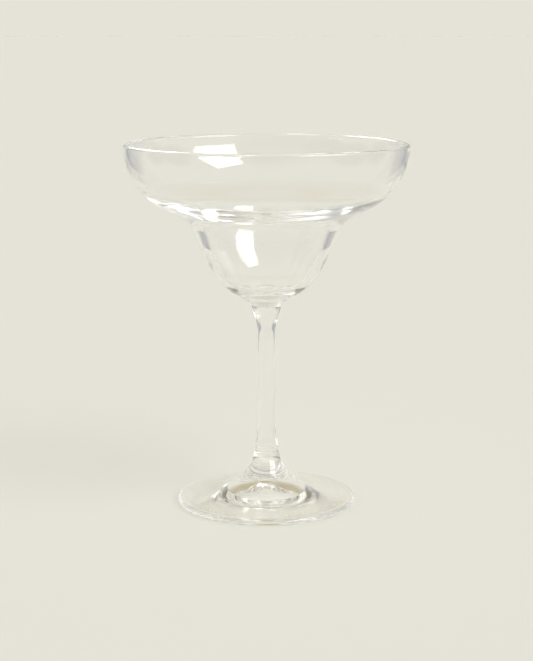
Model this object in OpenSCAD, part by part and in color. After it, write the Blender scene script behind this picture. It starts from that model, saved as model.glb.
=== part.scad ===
// Margarita glass: a wide saucer above a narrow cup, on a slender stem and a round foot.
// Three gathers of clear glass stand on one upright axis and are fused at two flat joints.
// Each outline is a half section: the distance from the axis comes first, then the height.

/* [Bowl] */
// Height of the bowl, from its joint with the stem up to the rim
bowl_h = 67; // [62:0.5:76]
// Outside diameter of the rim
rim_d = 117; // [106:0.5:130]
// Wall at the rim, which ends in a fully rounded lip
rim_wall = 2; // [1.2:0.1:2.6]
// Wall half way down the saucer
saucer_wall = 2.2; // [1.4:0.1:3]
// How much steeper the inside of the saucer is than its outside there, in degrees
saucer_lean = 4; // [0:1:8]
// Outside diameter where the saucer turns into the shoulder
turn_d = 83; // [76:0.5:92]
// Height of that turn above the stem joint
turn_h = 40.3; // [37:0.1:44]
// Slope of the shoulder at that turn, in degrees
turn_slope = 22; // [15:1:30]
// Wall of the shoulder at that turn
turn_wall = 2.8; // [2.2:0.1:3.6]
// How much steeper the inside is than the outside at that turn, in degrees
turn_lean = -6; // [-9:1:0]
// Wall half way from that turn down to the waist
shoulder_wall = 4.1; // [3.2:0.1:4.6]
// How much steeper the inside is than the outside of the shoulder there, in degrees
shoulder_lean = -3; // [-6:1:2]
// Outside diameter at the waist of the cup
waist_d = 53; // [48:0.5:58]
// Height of the waist above the stem joint
waist_h = 23.5; // [21:0.1:26]
// Slope of the cup's outside at the waist, in degrees
waist_slope = 69; // [62:1:76]
// Wall of the cup at its waist
waist_wall = 3.3; // [2.4:0.1:3.8]
// How much steeper the inside of the cup is than its outside at the waist, in degrees
waist_lean = 0.5; // [-2:0.5:4]
// Wall half way from the waist down to the round bottom
bottom_wall = 3.6; // [2.6:0.1:4.4]
// How much steeper the inside is than the outside of the bottom there, in degrees
bottom_lean = 2; // [-2:1:4]
// Outside diameter where the round bottom of the bowl runs out towards the stem
base_d = 22; // [18:0.5:27]
// Height of that ring above the stem joint
base_h = 3.8; // [2.6:0.1:5]
// Slope of the bottom at that ring, in degrees
base_slope = 25; // [15:1:35]
// Slope of the bottom where it reaches the stem joint, in degrees
join_slope = 50; // [40:1:70]
// Glass under the inside of the cup, down to the stem joint
floor_wall = 8.9; // [7.5:0.1:10]

/* [Stem] */
// Length of the stem between its two joints
stem_l = 62.2; // [45:0.1:90]
// Diameter of the slender length of the stem
stem_d = 7.4; // [6:0.1:9]
// Diameter of the joint between bowl and stem
top_joint_d = 12.2; // [10:0.1:15]
// Length of the flare under the bowl
top_flare = 12; // [8:0.5:18]
// Diameter of the joint between stem and foot
low_joint_d = 9.8; // [8:0.1:12]
// Length of the flare above the foot
low_flare = 12; // [8:0.5:18]

/* [Foot] */
// Outside diameter of the foot
foot_d = 75; // [62:0.5:90]
// Height of the foot, from the table to its joint with the stem
foot_h = 21.8; // [19:0.1:26]
// Thickness of the foot's rounded edge
edge_wall = 2.3; // [1.6:0.1:3]
// How far the neck of the foot swells out past the joint, all round
neck_swell = 0.4; // [0.2:0.1:0.8]
// Length of that swell below the joint
neck_drop = 1.2; // [0.8:0.1:2]
// Diameter where the foot's cone starts to spread out flat
cone_d = 22; // [18:0.5:27]
// Height of that ring above the table
cone_h = 10.6; // [9:0.1:13]
// Slope of the cone at that ring, in degrees
cone_slope = 45; // [36:1:50]
// Slope of the foot's top where it meets the edge, in degrees
disc_slope = 2; // [1:0.5:8]
// Width of the flat ring that stands on the table, in from the foot's rounded edge
ring_w = 3.3; // [1.5:0.1:6]
// Diameter of the domed hollow in the middle of the underside
dome_d = 29.5; // [26:0.5:34]
// Height of the underside where the dome starts
arch_h = 1.5; // [1:0.1:1.9]
// Slope of the underside just outside the dome, in degrees
arch_slope = 6; // [3:1:8]
// Slope of the dome where it starts, in degrees
dome_slope = 19; // [14:1:26]
// Height of the dome's crown above the table
dome_h = 6.2; // [5.2:0.1:7]

/* [Hidden] */

glass_colour = [0.90, 0.93, 0.94, 0.4];

// Straight steps along each curve of an outline, and round each lip
curve_steps = 24;
lip_steps = 12;
// The steps half way along the curves of the bowl's outside where its wall is set
saucer_step = 14;
shoulder_step = 12;
bottom_step = 11;
// Steps of a full turn about the axis
turn_steps = 180;

// Directions along an outline, in degrees: in to the axis, straight down and straight out
inward = 0;
downward = 90;
outward = 180;

// How much of a curve's length holds to the direction of an end
brief = 0.25;
easy = 0.35;
firm = 0.48;
tight = 0.55;
long = 0.7;

// Heights of the two joints above the table
low_joint_z = foot_h;
top_joint_z = low_joint_z + stem_l;

function go(p, direction, length) = p - length * [cos(direction), sin(direction)];

function cubic(a, b, c, d, t) =
    pow(1 - t, 3) * a + 3 * pow(1 - t, 2) * t * b + 3 * (1 - t) * pow(t, 2) * c + pow(t, 3) * d;

// The points after p on a curve that leaves p in one direction and comes to q in another
function curve(p, leave, p_hold, q, arrive, q_hold) =
    let (span = norm(q - p), b = go(p, leave, p_hold * span), c = go(q, arrive, -q_hold * span))
    [for (i = [1 : curve_steps]) cubic(p, b, c, q, i / curve_steps)];

// The points after the start of an arc, with angles counted from straight out and turning up
function arc(centre, radius, start, end) =
    [for (i = [1 : lip_steps])
        let (a = start + (end - start) * i / lip_steps) centre + radius * [cos(a), sin(a)]];

// The direction of a curve at one of its steps
function slope_at(points, step) =
    let (run = points[step - 2] - points[step]) atan2(run[1], run[0]);

// The point across the wall from p on the outside, and the direction of the inside there
function across(p, slope, wall, lean) = [go(p, slope + downward, -wall), slope + lean];

function reversed(points) = [for (i = [len(points) - 1 : -1 : 0]) points[i]];

module turned(outline, z) {
    color(glass_colour)
        translate([0, 0, z])
            rotate_extrude($fn = turn_steps)
                polygon(outline);
}

// The bowl: its outline runs over the lip, down the outside, across the joint and up the inside
module bowl() {
    lip = rim_wall / 2;
    lip_centre = [rim_d / 2 - lip, bowl_h - lip];
    inner_rim = lip_centre - [lip, 0];
    outer_rim = lip_centre + [lip, 0];
    joint = [top_joint_d / 2, 0];

    turn = [turn_d / 2, turn_h];
    waist = [waist_d / 2, waist_h];
    base = [base_d / 2, base_h];
    saucer = curve(outer_rim, downward, easy, turn, turn_slope, easy);
    shoulder = curve(turn, turn_slope, firm, waist, waist_slope, firm);
    bottom = curve(waist, waist_slope, firm, base, base_slope, easy);
    outside = concat(saucer, shoulder, bottom, curve(base, base_slope, easy, joint, join_slope, easy));

    saucer_slope = slope_at(saucer, saucer_step);
    shoulder_slope = slope_at(shoulder, shoulder_step);
    bottom_slope = slope_at(bottom, bottom_step);
    stops = [
        [inner_rim, downward],
        across(saucer[saucer_step - 1], saucer_slope, saucer_wall, saucer_lean),
        across(turn, turn_slope, turn_wall, turn_lean),
        across(shoulder[shoulder_step - 1], shoulder_slope, shoulder_wall, shoulder_lean),
        across(waist, waist_slope, waist_wall, waist_lean),
        across(bottom[bottom_step - 1], bottom_slope, bottom_wall, bottom_lean)
    ];
    last = stops[len(stops) - 1];
    inside = concat(
        [for (i = [1 : len(stops) - 1])
            each curve(stops[i - 1][0], stops[i - 1][1], easy, stops[i][0], stops[i][1], easy)],
        curve(last[0], last[1], firm, [0, floor_wall], inward, firm)
    );

    over_rim = concat([inner_rim], arc(lip_centre, lip, 180, 0));
    turned(concat(over_rim, outside, [[0, 0]], reversed(inside)), top_joint_z);
}

// The stem: a slender rod that flares to both joints
module stem() {
    top = [top_joint_d / 2, stem_l];
    slender_top = [stem_d / 2, stem_l - top_flare];
    slender_end = [stem_d / 2, low_flare];
    end = [low_joint_d / 2, 0];
    side = concat(
        [top],
        curve(top, downward, brief, slender_top, downward, tight),
        [slender_end],
        curve(slender_end, downward, firm, end, downward, brief)
    );
    turned(concat([[0, stem_l]], side, [[0, 0]]), low_joint_z);
}

// The foot: a swelling neck, a cone that spreads into a disc, and an arched underside with a dome
module foot() {
    lip = edge_wall / 2;
    lip_centre = [foot_d / 2 - lip, lip];
    joint = [low_joint_d / 2, foot_h];
    neck = joint + [neck_swell, -neck_drop];
    cone = [cone_d / 2, cone_h];
    disc_normal = 90 - disc_slope;
    disc = lip_centre + lip * [cos(disc_normal), sin(disc_normal)];
    top = concat(
        [joint],
        curve(joint, outward, firm, neck, downward, firm),
        curve(neck, downward, brief, cone, outward - cone_slope, easy),
        curve(cone, outward - cone_slope, easy, disc, outward - disc_slope, easy),
        arc(lip_centre, lip, disc_normal, -90)
    );

    stand = [lip_centre[0] - ring_w, 0];
    dome = [dome_d / 2, arch_h];
    underside = concat(
        [stand],
        curve(stand, inward, easy, dome, inward - arch_slope, easy),
        curve(dome, inward - dome_slope, long, [0, dome_h], inward, brief)
    );

    turned(concat([[0, foot_h]], top, underside), 0);
}

bowl();
stem();
foot();
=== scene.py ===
# %% [markdown]
# # A margarita glass
# The glass is three gathers of clear glass: a bowl, a stem and a foot, melted together end to end.
# The measured solids come in first, as a fixed frame. The shape of every piece below is read from them, so
# the finished pieces always fit, and the box of the bare solids is kept.

# %% Load the measured solids
import math

import bpy
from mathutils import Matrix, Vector


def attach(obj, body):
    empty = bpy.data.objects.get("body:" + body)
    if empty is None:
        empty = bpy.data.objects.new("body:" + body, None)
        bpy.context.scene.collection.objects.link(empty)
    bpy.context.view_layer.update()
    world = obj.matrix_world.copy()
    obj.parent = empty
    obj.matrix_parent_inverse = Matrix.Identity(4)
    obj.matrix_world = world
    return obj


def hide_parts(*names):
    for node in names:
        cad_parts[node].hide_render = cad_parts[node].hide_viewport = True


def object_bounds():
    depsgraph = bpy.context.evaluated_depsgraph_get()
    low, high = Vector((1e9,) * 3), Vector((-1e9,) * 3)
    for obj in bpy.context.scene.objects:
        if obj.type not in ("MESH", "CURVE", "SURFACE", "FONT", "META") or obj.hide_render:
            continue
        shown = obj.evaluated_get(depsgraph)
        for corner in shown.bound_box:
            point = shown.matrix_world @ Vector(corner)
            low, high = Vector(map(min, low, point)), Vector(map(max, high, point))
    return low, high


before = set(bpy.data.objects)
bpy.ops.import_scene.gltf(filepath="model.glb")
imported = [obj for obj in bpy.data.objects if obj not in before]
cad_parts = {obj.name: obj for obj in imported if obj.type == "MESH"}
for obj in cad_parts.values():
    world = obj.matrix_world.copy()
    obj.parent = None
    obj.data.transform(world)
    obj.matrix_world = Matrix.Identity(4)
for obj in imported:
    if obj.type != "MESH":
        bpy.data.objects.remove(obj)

solid_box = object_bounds()
glass_height = solid_box[1].z - solid_box[0].z

# %% [markdown]
# ## The half section of a turned piece
# Each solid was swept round one upright axis, so one half of its section says all of its shape.
# The section could be drawn again by hand, but then it could drift from the solid. Instead it is read
# back: every vertex becomes a ring, given by its distance from the axis and its height, and the mesh
# edges say which rings are neighbours. Walking from ring to ring gives the section in order.

# %% Read a half section back from a solid
DIGITS = 7
SAME_RING = 2e-6


def rings_of(mesh):
    """The distinct rings of a turned mesh, and the ring that each vertex lies on."""
    rings = []
    known = {}
    ring_of_vertex = []
    for vertex in mesh.vertices:
        x, y, z = vertex.co
        place = (round(math.hypot(x, y), DIGITS), round(z, DIGITS))
        if place not in known:
            close = [i for i, ring in enumerate(rings) if math.dist(ring, place) < SAME_RING]
            known[place] = close[0] if close else len(rings)
            if not close:
                rings.append(place)
        ring_of_vertex.append(known[place])
    return rings, ring_of_vertex


def turns_left(section):
    """Whether an outline, closed along the axis, runs anticlockwise when the axis is at its left."""
    closed = [*section, (0.0, section[-1][1]), (0.0, section[0][1]), section[0]]
    return sum(a[0] * b[1] - b[0] * a[1] for a, b in zip(closed, closed[1:])) > 0


def half_section(node):
    """Rings of a turned solid in order, so that its glass always lies on the left of the walk."""
    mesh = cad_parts[node].data
    rings, ring_of_vertex = rings_of(mesh)
    neighbours = [set() for ring in rings]
    for edge in mesh.edges:
        a, b = (ring_of_vertex[v] for v in edge.vertices)
        if a != b:
            neighbours[a].add(b)
            neighbours[b].add(a)
    ends = [i for i, near in enumerate(neighbours) if len(near) == 1]
    here = max(ends, key=lambda i: rings[i][0])
    walk = [here]
    while True:
        ahead = [i for i in neighbours[here] if i not in walk]
        if not ahead:
            break
        here = min(ahead, key=lambda i: math.dist(rings[i], rings[here]))
        walk.append(here)
    section = [rings[i] for i in walk]
    return section if turns_left(section) else section[::-1]


sections = {node: half_section(node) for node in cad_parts}
for node, section in sections.items():
    print(node, "has", len(section), "rings, from", section[0], "to", section[-1])

# %% [markdown]
# ## A smoother outline
# The solids keep their curves as short straight steps. Clear glass shows every step, because each one
# bends the light a little differently. A spline through the same rings keeps the size and rounds the
# steps: the tangent at a ring weighs its two neighbours by their distance, and long straight runs,
# such as the rod of the stem, stay straight.

# %% Round the steps of an outline
FINE_STEP = 0.0003
STRAIGHT_RUN = 0.004
STRAIGHT_STEPS = 8


def tangents(points):
    """A direction at every point of an outline, from the steps before and after it."""
    found = []
    last = len(points) - 1
    for i, point in enumerate(points):
        before = point - points[i - 1] if i > 0 else points[1] - point
        after = points[i + 1] - point if i < last else before
        a, b = before.length, after.length
        blended = before.normalized() * b + after.normalized() * a
        found.append(blended.normalized())
    return found


def on_curve(start, end, leave, arrive, t):
    """The point a share t of the way along a curve that leaves and arrives in the given directions."""
    span = (end - start).length
    return (
        start * (2 * t**3 - 3 * t**2 + 1) + leave * span * (t**3 - 2 * t**2 + t)
        + end * (3 * t**2 - 2 * t**3) + arrive * span * (t**3 - t**2)
    )


def smooth_outline(section):
    """The same outline with a ring about every third of a millimetre, kept inside the solid's own box."""
    points = [Vector(ring) for ring in section]
    heading = tangents(points)
    fine = [points[0]]
    for i in range(len(points) - 1):
        start, end = points[i], points[i + 1]
        span = (end - start).length
        if span > STRAIGHT_RUN:
            fine.extend(start.lerp(end, k / STRAIGHT_STEPS) for k in range(1, STRAIGHT_STEPS + 1))
            continue
        pieces = max(1, round(span / FINE_STEP))
        fine.extend(
            on_curve(start, end, heading[i], heading[i + 1], k / pieces) for k in range(1, pieces + 1)
        )
    widest = max(radius for radius, height in section)
    lowest = min(height for radius, height in section)
    return [(min(max(p.x, 0.0), widest), max(p.y, lowest)) for p in fine]


outlines = {node: smooth_outline(section) for node, section in sections.items()}
print("smooth rings:", {node: len(outline) for node, outline in outlines.items()})

# %% [markdown]
# ## Turning a piece
# A Screw modifier could sweep the outline, but the flat ends where two gathers are fused need their own
# material, so the rings are laid one by one: one loop of vertices per ring, a single vertex on the axis,
# and a flat cap wherever the outline ends away from the axis.

# %% Turn an outline into a closed mesh
SIDES = 256
ON_AXIS = 1e-6
WALL = 0
SEAM = 1


def faces_between(low, high):
    """The faces from one loop of vertices to the next, where a single vertex lies on the axis."""
    faces = []
    for k in range(SIDES):
        n = (k + 1) % SIDES
        if len(high) == 1:
            faces.append((low[k], low[n], high[0]))
        elif len(low) == 1:
            faces.append((low[0], high[n], high[k]))
        else:
            faces.append((low[k], low[n], high[n], high[k]))
    return faces


def turn(name, outline):
    """A closed mesh swept from an outline, with its fused ends as flat caps of their own material."""
    vertices = []
    loops = []
    for radius, height in outline:
        if radius < ON_AXIS:
            loops.append([len(vertices)])
            vertices.append((0.0, 0.0, height))
            continue
        loops.append(range(len(vertices), len(vertices) + SIDES))
        for k in range(SIDES):
            angle = 2 * math.pi * k / SIDES
            vertices.append((radius * math.cos(angle), radius * math.sin(angle), height))
    faces = [face for low, high in zip(loops, loops[1:]) for face in faces_between(low, high)]
    walls = len(faces)
    if len(loops[0]) > 1:
        faces.append(tuple(reversed(loops[0])))
    if len(loops[-1]) > 1:
        faces.append(tuple(loops[-1]))
    mesh = bpy.data.meshes.new(name)
    mesh.from_pydata(vertices, [], faces)
    for polygon in mesh.polygons:
        polygon.use_smooth = polygon.index < walls
        polygon.material_index = WALL if polygon.index < walls else SEAM
    mesh.update()
    piece = bpy.data.objects.new(name, mesh)
    bpy.context.scene.collection.objects.link(piece)
    return piece


turned = {node: turn("turned_" + node, outline) for node, outline in outlines.items()}
print("turned:", {piece.name: len(piece.data.polygons) for piece in turned.values()})

# %% [markdown]
# ## Waves in the skin
# Blown and pressed glass is never quite even: melting it smooth leaves long, shallow waves in its skin.
# They could be modelled, but they are only some hundredths of a millimetre deep, so a height for a bump is
# enough. It is a node group with the depth as an input, because all three pieces use it. Deeper waves
# would make the glass look wet.

# %% Make the waves of the fire polish
WAVE_SCALES = (70.0, 70.0, 70.0)
WAVE_DETAIL = 0.0


def new_group(name, inputs, outputs):
    """An empty shader group with named number sockets."""
    group = bpy.data.node_groups.new(name, "ShaderNodeTree")
    for label, value in inputs.items():
        socket = group.interface.new_socket(label, in_out="INPUT", socket_type="NodeSocketFloat")
        socket.default_value = value
    for label in outputs:
        group.interface.new_socket(label, in_out="OUTPUT", socket_type="NodeSocketFloat")
    return group, group.nodes.new("NodeGroupInput"), group.nodes.new("NodeGroupOutput")


def math_node(tree, operation, *values):
    """The result of a Math node; each value is a socket to link or a plain number."""
    node = tree.nodes.new("ShaderNodeMath")
    node.operation = operation
    for slot, value in zip(node.inputs, values):
        if isinstance(value, (int, float)):
            slot.default_value = value
        else:
            tree.links.new(value, slot)
    return node.outputs["Value"]


def noise(tree, scales, detail):
    """Soft noise in the glass's own coordinates, with a scale for each axis."""
    place = tree.nodes.new("ShaderNodeTexCoord")
    stretch = tree.nodes.new("ShaderNodeVectorMath")
    stretch.operation = "MULTIPLY"
    stretch.inputs[1].default_value = scales
    texture = tree.nodes.new("ShaderNodeTexNoise")
    texture.inputs["Scale"].default_value = 1.0
    texture.inputs["Detail"].default_value = detail
    tree.links.new(place.outputs["Object"], stretch.inputs[0])
    tree.links.new(stretch.outputs["Vector"], texture.inputs["Vector"])
    return texture.outputs["Fac"]


def make_uneven_skin(name, scales, detail):
    """A group whose height is noise, as deep as its input says."""
    group, inlet, outlet = new_group(name, {"Depth": 1.0}, ["Height"])
    height = math_node(group, "MULTIPLY", noise(group, scales, detail), inlet.outputs["Depth"])
    group.links.new(height, outlet.inputs["Height"])
    return group


waves = make_uneven_skin("fire_polish", WAVE_SCALES, WAVE_DETAIL)
print("made:", waves.name, "with", len(waves.nodes), "nodes")

# %% [markdown]
# ## Draw lines
# The stem is drawn out of soft glass, which leaves fine lines along it. A picture of scratches could show
# them, but noise that is squeezed across the stem and stretched along it gives such lines at any size.

# %% Make the draw lines of the stem
LINE_SCALES = (900.0, 900.0, 9.0)
LINE_DETAIL = 1.0

draw_lines = make_uneven_skin("draw_lines", LINE_SCALES, LINE_DETAIL)
print("made:", draw_lines.name, "with", len(draw_lines.nodes), "nodes")

# %% [markdown]
# ## Press marks
# The foot is pressed, and its glass flows in to the middle of the press, so the dome underneath has fine
# flutes that point to the axis. Cutting them into the mesh would take very many vertices. A sine of the
# angle round the axis gives the same slopes, and three limits keep it to the dome, clear of its crown.

# %% Make the press marks of the foot
FLUTES = 24
FLUTE_LIMITS = {"Inner": 0.002, "Outer": 0.008, "Top": 0.006}


def make_press_marks():
    """Fine flutes that run in to the axis, as deep as the input says."""
    group, inlet, outlet = new_group("press_marks", {"Depth": 1.0, **FLUTE_LIMITS}, ["Height"])
    place = group.nodes.new("ShaderNodeTexCoord")
    parts = group.nodes.new("ShaderNodeSeparateXYZ")
    group.links.new(place.outputs["Object"], parts.inputs["Vector"])
    x, y, z = (parts.outputs[axis] for axis in "XYZ")
    around = math_node(group, "ARCTAN2", y, x)
    flute = math_node(group, "SINE", math_node(group, "MULTIPLY", around, FLUTES))
    squares = [math_node(group, "MULTIPLY", side, side) for side in (x, y)]
    away = math_node(group, "SQRT", math_node(group, "ADD", *squares))
    height = math_node(group, "MULTIPLY", flute, inlet.outputs["Depth"])
    for limit in (
        math_node(group, "GREATER_THAN", away, inlet.outputs["Inner"]),
        math_node(group, "LESS_THAN", away, inlet.outputs["Outer"]),
        math_node(group, "LESS_THAN", z, inlet.outputs["Top"]),
    ):
        height = math_node(group, "MULTIPLY", height, limit)
    group.links.new(height, outlet.inputs["Height"])
    return group


press_marks = make_press_marks()
print("made:", press_marks.name, "with", FLUTES, "flutes")

# %% [markdown]
# ## Shelf wear
# A glass that is set down again and again gets fine scratches on the ring under its foot. They could be
# painted on, but the ring is simply all the glass within a hair of the table, so its height makes the mask
# and noise makes the scratches.

# %% Make the shelf wear of the standing ring
WEAR_GONE = 0.00025
WEAR_FULL = 0.00005
SCRATCH_SCALES = (1500.0, 400.0, 400.0)
SCRATCH_DETAIL = 2.0
SCRATCH_STARTS = 0.45
SCRATCH_FULL = 0.7


def fade(tree, value, start, end):
    """A mask that rises smoothly from 0 at the start to 1 at the end."""
    node = tree.nodes.new("ShaderNodeMapRange")
    node.interpolation_type = "SMOOTHSTEP"
    node.inputs["From Min"].default_value = start
    node.inputs["From Max"].default_value = end
    tree.links.new(value, node.inputs["Value"])
    return node.outputs["Result"]


def make_shelf_wear():
    """Fine scratches on whatever lies within a hair of the table, as strong as the input says."""
    group, inlet, outlet = new_group("shelf_wear", {"Amount": 1.0}, ["Mask"])
    place = group.nodes.new("ShaderNodeNewGeometry")
    parts = group.nodes.new("ShaderNodeSeparateXYZ")
    group.links.new(place.outputs["Position"], parts.inputs["Vector"])
    low = fade(group, parts.outputs["Z"], WEAR_GONE, WEAR_FULL)
    scratch = fade(group, noise(group, SCRATCH_SCALES, SCRATCH_DETAIL), SCRATCH_STARTS, SCRATCH_FULL)
    worn = math_node(group, "MULTIPLY", low, scratch)
    group.links.new(math_node(group, "MULTIPLY", worn, inlet.outputs["Amount"]), outlet.inputs["Mask"])
    return group


shelf_wear = make_shelf_wear()
print("groups:", [group.name for group in bpy.data.node_groups])

# %% [markdown]
# ## The shadow of clear glass
# Light that crosses the glass lands on the table in a bright pattern, which would need very many samples.
# So shadow rays meet a clear shader instead, darker where the glass is seen edge on. That gives the soft,
# faint shadow of a real glass. The foot lies right on the table, so its edges are given the darkest shade.

# %% Make a faint shadow
EDGE_BLEND = 0.5
SHADE_STARTS = 0.45
SHADE_FACE_ON = 1.0
SOFT_EDGE = 0.5
DARK_EDGE = 0.0


def choose(tree, mask, first, second):
    """The first shader where the mask is 0, and the second where it is 1."""
    mix = tree.nodes.new("ShaderNodeMixShader")
    for socket, slot in zip((mask, first, second), mix.inputs):
        tree.links.new(socket, slot)
    return mix.outputs["Shader"]


def faint_shadow(tree, shader, edge_on):
    """The given shader, but clear to shadow rays, and darker to them where the glass is edge on."""
    path = tree.nodes.new("ShaderNodeLightPath")
    edge = tree.nodes.new("ShaderNodeLayerWeight")
    edge.inputs["Blend"].default_value = EDGE_BLEND
    shade = tree.nodes.new("ShaderNodeMapRange")
    shade.inputs["From Min"].default_value = SHADE_STARTS
    shade.inputs["To Min"].default_value = SHADE_FACE_ON
    shade.inputs["To Max"].default_value = edge_on
    clear = tree.nodes.new("ShaderNodeBsdfTransparent")
    tree.links.new(edge.outputs["Facing"], shade.inputs["Value"])
    tree.links.new(shade.outputs["Result"], clear.inputs["Color"])
    return choose(tree, path.outputs["Is Shadow Ray"], shader, clear.outputs["BSDF"])


print("edge shade of bowl and stem:", SOFT_EDGE, "and of the foot:", DARK_EDGE)

# %% [markdown]
# ## Clear glass
# The glass is a Principled shader with full transmission and no colour: refraction alone makes the dark
# and bright bands that draw it. A Glass shader would look the same, but a Principled one has the sockets
# that other programs know. The marks are heights in metres, so the bump keeps a distance of one.

# %% Make the glass
GLASS_IOR = 1.5
WAVE_DEPTH = 0.00004
LINE_DEPTH = 0.000006
FLUTE_DEPTH = 0.00002
WORN_ROUGHNESS = 0.35


def new_material(name):
    """A material with its node tree and the tree's Principled shader."""
    material = bpy.data.materials.new(name)
    material.use_nodes = True
    return material, material.node_tree, material.node_tree.nodes["Principled BSDF"]


def use_group(tree, group, label, value):
    """The only output of a node group, with one of its inputs set."""
    node = tree.nodes.new("ShaderNodeGroup")
    node.node_tree = group
    node.inputs[label].default_value = value
    return node.outputs[0]


def clear_glass(name, edge_on, drawn, pressed):
    """Clear glass with waves in its skin, and the marks of drawing or of pressing where asked for."""
    material, tree, shader = new_material(name)
    shader.inputs["Base Color"].default_value = (1.0, 1.0, 1.0, 1.0)
    shader.inputs["Roughness"].default_value = 0.0
    shader.inputs["IOR"].default_value = GLASS_IOR
    shader.inputs["Transmission Weight"].default_value = 1.0
    height = use_group(tree, waves, "Depth", WAVE_DEPTH)
    if drawn:
        height = math_node(tree, "ADD", height, use_group(tree, draw_lines, "Depth", LINE_DEPTH))
    if pressed:
        height = math_node(tree, "ADD", height, use_group(tree, press_marks, "Depth", FLUTE_DEPTH))
        worn = use_group(tree, shelf_wear, "Amount", WORN_ROUGHNESS)
        tree.links.new(worn, shader.inputs["Roughness"])
    bump = tree.nodes.new("ShaderNodeBump")
    bump.inputs["Strength"].default_value = 1.0
    bump.inputs["Distance"].default_value = 1.0
    tree.links.new(height, bump.inputs["Height"])
    tree.links.new(bump.outputs["Normal"], shader.inputs["Normal"])
    surface = faint_shadow(tree, shader.outputs["BSDF"], edge_on)
    tree.links.new(surface, tree.nodes["Material Output"].inputs["Surface"])
    return material


glass_of = {
    "bowl": clear_glass("bowl_glass", SOFT_EDGE, drawn=False, pressed=False),
    "stem": clear_glass("stem_glass", SOFT_EDGE, drawn=True, pressed=False),
    "foot": clear_glass("foot_glass", DARK_EDGE, drawn=False, pressed=True),
}
print("glass:", [material.name for material in glass_of.values()])

# %% [markdown]
# ## Fused ends
# Where two gathers are melted together there is no air between them, and light goes straight on. One joined
# mesh would show that too, but the three pieces should stay apart. So the two flat faces that meet are made
# fully clear, and a ray stays in glass as it passes from one piece to the next.

# %% Dress the pieces
def fused_seam(name):
    """A material that lets everything through unbent."""
    material, tree, shader = new_material(name)
    tree.nodes.remove(shader)
    clear = tree.nodes.new("ShaderNodeBsdfTransparent")
    tree.links.new(clear.outputs["BSDF"], tree.nodes["Material Output"].inputs["Surface"])
    return material


seam = fused_seam("fused_seam")
for node, piece in turned.items():
    piece.data.materials.append(glass_of[node])
    piece.data.materials.append(seam)
    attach(piece, "root")
    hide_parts(node)
print("dressed:", [piece.name for piece in turned.values()])

# %% [markdown]
# ## The table
# A plain cream table carries the glass. It runs far back, so it fills the picture behind the glass, but
# its other edges lie just outside the picture: clear glass shows the dimmer room past them as dark bands
# down the sides of the cup, which a table without edges would never give.

# %% Lay the table
CREAM = (0.783, 0.768, 0.680)
TABLE_FRONT = -0.36
TABLE_BACK = 30.0
TABLE_HALF = 0.212
TABLE_SPREAD = 0.172
HAIR = 0.00002


def lay_table():
    """A flat sheet a hair under the glass, which gets wider towards the back as the picture does."""
    mesh = bpy.data.meshes.new("table")
    front, back = (TABLE_HALF + TABLE_SPREAD * y for y in (TABLE_FRONT, TABLE_BACK))
    corners = [(-front, TABLE_FRONT), (front, TABLE_FRONT), (back, TABLE_BACK), (-back, TABLE_BACK)]
    mesh.from_pydata([(x, y, -HAIR) for x, y in corners], [], [(0, 1, 2, 3)])
    table = bpy.data.objects.new("table", mesh)
    bpy.context.scene.collection.objects.link(table)
    material, _, shader = new_material("cream_table")
    shader.inputs["Base Color"].default_value = (*CREAM, 1)
    shader.inputs["Roughness"].default_value = 1.0
    shader.inputs["Specular IOR Level"].default_value = 0.0
    mesh.materials.append(material)
    return table


table = lay_table()
print(table.name, "is", 2 * TABLE_HALF, "m wide under the glass, from", TABLE_FRONT, "m to", TABLE_BACK, "m")

# %% [markdown]
# ## Daylight on the table
# Daylight comes from the right, in front of the glass. A sun lamp with a wide spread lights the table and
# casts the soft shadow to the left. Its strength and the room's even fill add up to one, so that the table
# shows its colour about as it is written. The glass doesn't reflect this lamp: it reflects the window below.

# %% Light the table
FILL = 0.45
SUN_TURN = math.radians(54)
SUN_HEIGHT = math.radians(42)
SUN_SPREAD = math.radians(35)


def direction(turn_angle, height_angle):
    """A direction from the glass: turned to the right of the viewer, and raised."""
    flat = math.cos(height_angle)
    return Vector((math.sin(turn_angle) * flat, -math.cos(turn_angle) * flat, math.sin(height_angle)))


def add_lamp(name, kind, towards):
    """A lamp of one kind, turned so that it shines from the given direction."""
    data = bpy.data.lights.new(name, kind)
    lamp = bpy.data.objects.new(name, data)
    lamp.rotation_mode = "QUATERNION"
    lamp.rotation_quaternion = towards.to_track_quat("Z", "Y")
    bpy.context.scene.collection.objects.link(lamp)
    return lamp, data


def add_sun():
    """The soft daylight that falls on the table."""
    sun, data = add_lamp("daylight", "SUN", direction(SUN_TURN, SUN_HEIGHT))
    data.energy = (1 - FILL) * math.pi / math.sin(SUN_HEIGHT)
    data.angle = SUN_SPREAD
    sun.visible_glossy = False
    sun.visible_transmission = False
    return data


print("daylight strength:", round(add_sun().energy, 3))

# %% [markdown]
# ## The window in the glass
# Clear glass shows a window as bright shapes in the saucer and a strip in the cup. A bright patch in the
# room could do that too, but its edges would be round and soft, and those of an area lamp are straight.
# The lamp works only for rays that haven't met the table yet, so the table is lit once only.

# %% Add the window
WINDOW_TURN = (math.radians(29), math.radians(68))
WINDOW_HEIGHT = (math.radians(16), math.radians(56))
WINDOW_AWAY = 1.5
WINDOW_LEVEL = 0.7
WINDOW_RADIANCE = 7.0
WINDOW_COLOUR = (0.94, 0.97, 1.0)
BEFORE_TABLE = 0.5


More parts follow.
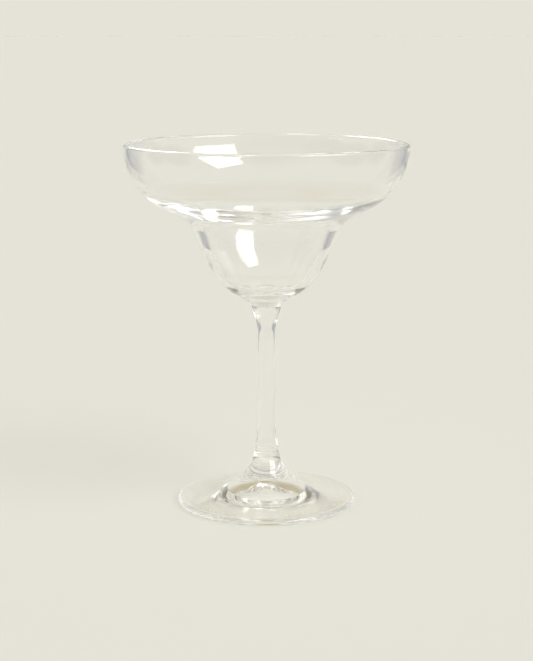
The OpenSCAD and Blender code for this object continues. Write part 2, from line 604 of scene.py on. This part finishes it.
def add_window():
    """A rectangle of light whose edges lie in the given directions from the bowl."""
    towards = direction(sum(WINDOW_TURN) / 2, 0)
    window, data = add_lamp("window", "AREA", towards)
    low, high = (WINDOW_AWAY * math.tan(angle) for angle in WINDOW_HEIGHT)
    data.shape = "RECTANGLE"
    data.size = 2 * WINDOW_AWAY * math.tan((WINDOW_TURN[1] - WINDOW_TURN[0]) / 2)
    data.size_y = high - low
    data.energy = WINDOW_RADIANCE * math.pi * data.size * data.size_y
    data.color = WINDOW_COLOUR
    window.location = towards * WINDOW_AWAY
    window.location.z = glass_height * WINDOW_LEVEL + (low + high) / 2
    window.visible_diffuse = False
    window.visible_camera = False
    data.use_nodes = True
    tree = data.node_tree
    path = tree.nodes.new("ShaderNodeLightPath").outputs
    before_table = math_node(tree, "LESS_THAN", path["Diffuse Depth"], BEFORE_TABLE)
    tree.links.new(before_table, tree.nodes["Emission"].inputs["Strength"])
    return data


window = add_window()
print("window:", round(window.size, 2), "by", round(window.size_y, 2), "m")

# %% [markdown]
# ## What the glass mirrors
# The glass mirrors and bends a whole room into its edges, and only differences in that room draw them.
# A modelled room would be slow to change, so the room is plain cream with soft round patches: a dim wall
# behind the viewer, shade at both sides, a brown patch high up at the back that is painted warm shade, which
# the cone of the foot shows in place of the shaded table under it, dark corners, and the floor past the
# table.
# Each patch has a direction in degrees, and the angles from it where it is full and where it is gone.

# %% List the patches of the room
DIM_WALL = (0.45, 0.45, 0.45)
SHADE = (0.18, 0.18, 0.20)
# Painted warm shade: a brown patch that the cone of the foot shows in place of the shaded table under it.
WARM_SHADE = (0.50, 0.43, 0.28)
CORNER = (0.22, 0.19, 0.13)
FLOOR = (0.40, 0.41, 0.44)
PATCHES = [
    {"turn": -11, "height": 20, "full": 28, "gone": 46, "colour": DIM_WALL},
    {"turn": -54, "height": 16, "full": 12, "gone": 24, "colour": SHADE},
    {"turn": -85, "height": 22, "full": 14, "gone": 24, "colour": SHADE},
    {"turn": 92, "height": 22, "full": 12, "gone": 20, "colour": SHADE},
    {"turn": 180, "height": 40, "full": 14, "gone": 26, "colour": WARM_SHADE},
    {"turn": -115, "height": 11, "full": 9, "gone": 16, "colour": CORNER},
    {"turn": 115, "height": 11, "full": 9, "gone": 16, "colour": CORNER},
    {"turn": -140, "height": -9, "full": 9, "gone": 20, "colour": FLOOR},
    {"turn": 140, "height": -9, "full": 9, "gone": 20, "colour": FLOOR},
]


def add_patch(tree, place, colour, patch):
    """The colour socket of the room with one more soft round patch laid over it."""
    towards = direction(math.radians(patch["turn"]), math.radians(patch["height"]))
    near = tree.nodes.new("ShaderNodeVectorMath")
    near.operation = "DOT_PRODUCT"
    near.inputs[1].default_value = towards
    tree.links.new(place, near.inputs[0])
    edges = [math.cos(math.radians(patch[edge])) for edge in ("gone", "full")]
    mix = tree.nodes.new("ShaderNodeMix")
    mix.data_type = "RGBA"
    mix.inputs["B"].default_value = (*patch["colour"], 1)
    tree.links.new(fade(tree, near.outputs["Value"], *edges), mix.inputs["Factor"])
    if colour is None:
        mix.inputs["A"].default_value = (*CREAM, 1)
    else:
        tree.links.new(colour, mix.inputs["A"])
    return mix.outputs["Result"]


print("patches in the room:", len(PATCHES))

# %% [markdown]
# ## The room
# Different rays should see different things. The camera sees plain cream behind the table. Rays that come
# through the glass see the patches. The table sees an even fill, and a stronger one through the glass,
# because a real glass gathers light under its foot, which the faint shadow leaves out. The Light Path node
# tells the rays apart.

# %% Set up the room
THROUGH = 0.95


def background(tree, colour):
    """A background of one plain colour."""
    node = tree.nodes.new("ShaderNodeBackground")
    node.inputs["Color"].default_value = (*colour, 1)
    return node


def surround():
    """A world that shows each kind of ray its own side of the room."""
    world = bpy.data.worlds.new("room")
    bpy.context.scene.world = world
    world.use_nodes = True
    tree = world.node_tree
    path = tree.nodes.new("ShaderNodeLightPath").outputs
    glassy = math_node(tree, "MAXIMUM", path["Is Glossy Ray"], path["Is Transmission Ray"])
    before_table = math_node(tree, "LESS_THAN", path["Diffuse Depth"], BEFORE_TABLE)
    fill = background(tree, (1, 1, 1))
    gathered = math_node(tree, "MULTIPLY", glassy, THROUGH - FILL)
    tree.links.new(math_node(tree, "ADD", gathered, FILL), fill.inputs["Strength"])
    place = tree.nodes.new("ShaderNodeTexCoord").outputs["Generated"]
    colour = None
    for patch in PATCHES:
        colour = add_patch(tree, place, colour, patch)
    mirrored = tree.nodes["Background"]
    tree.links.new(colour, mirrored.inputs["Color"])
    seen = background(tree, CREAM)
    in_glass = math_node(tree, "MULTIPLY", glassy, before_table)
    unseen = choose(tree, in_glass, fill.outputs["Background"], mirrored.outputs["Background"])
    final = choose(tree, path["Is Camera Ray"], unseen, seen.outputs["Background"])
    tree.links.new(final, tree.nodes["World Output"].inputs["Surface"])
    return tree


print("nodes in the room:", len(surround().nodes))

# %% [markdown]
# ## The camera
# The picture was taken from a little above the rim and from about four glass heights away, so the rim is a
# flat ellipse and the foot a more open one. Those two ellipses gave the distance, the height and the tilt.
# The focal length is counted in pixels of the picture, and the lens is that length on a 36 mm sensor.

# %% Set the camera
PHOTO_TALL = 661
CAMERA_FOCUS = 1588
CAMERA_AWAY = 0.651
CAMERA_UP = 0.198
CAMERA_TILT = math.radians(10.86)
CAMERA_REACH = 100
SENSOR = 36.0


def set_camera():
    """A camera in front of the glass that looks a little down on it."""
    data = bpy.data.cameras.new("camera")
    data.sensor_width = SENSOR
    data.lens = CAMERA_FOCUS * SENSOR / PHOTO_TALL
    data.clip_end = CAMERA_REACH
    camera = bpy.data.objects.new("camera", data)
    camera.location = (0.0, -CAMERA_AWAY, CAMERA_UP)
    camera.rotation_euler = (math.pi / 2 - CAMERA_TILT, 0.0, 0.0)
    bpy.context.scene.collection.objects.link(camera)
    bpy.context.scene.camera = camera
    return data


print("camera lens in mm:", round(set_camera().lens, 2))

# %% [markdown]
# ## How far a ray is followed
# A ray that slips into the wall of a glass can be mirrored inside it a hundred times before it gets out.
# With the usual limits Cycles gives such a ray up as black, and the walls look sooty. Higher limits cost
# little here, because few rays need them. The plain Standard view keeps colours as they are written.

# %% Let rays run their full way
BOUNCES = 512
CLEAR_BOUNCES = 64

scene = bpy.context.scene
scene.view_settings.view_transform = "Standard"
scene.cycles.max_bounces = BOUNCES
scene.cycles.transmission_bounces = BOUNCES
scene.cycles.glossy_bounces = BOUNCES
scene.cycles.transparent_max_bounces = CLEAR_BOUNCES
print("bounces:", scene.cycles.max_bounces)
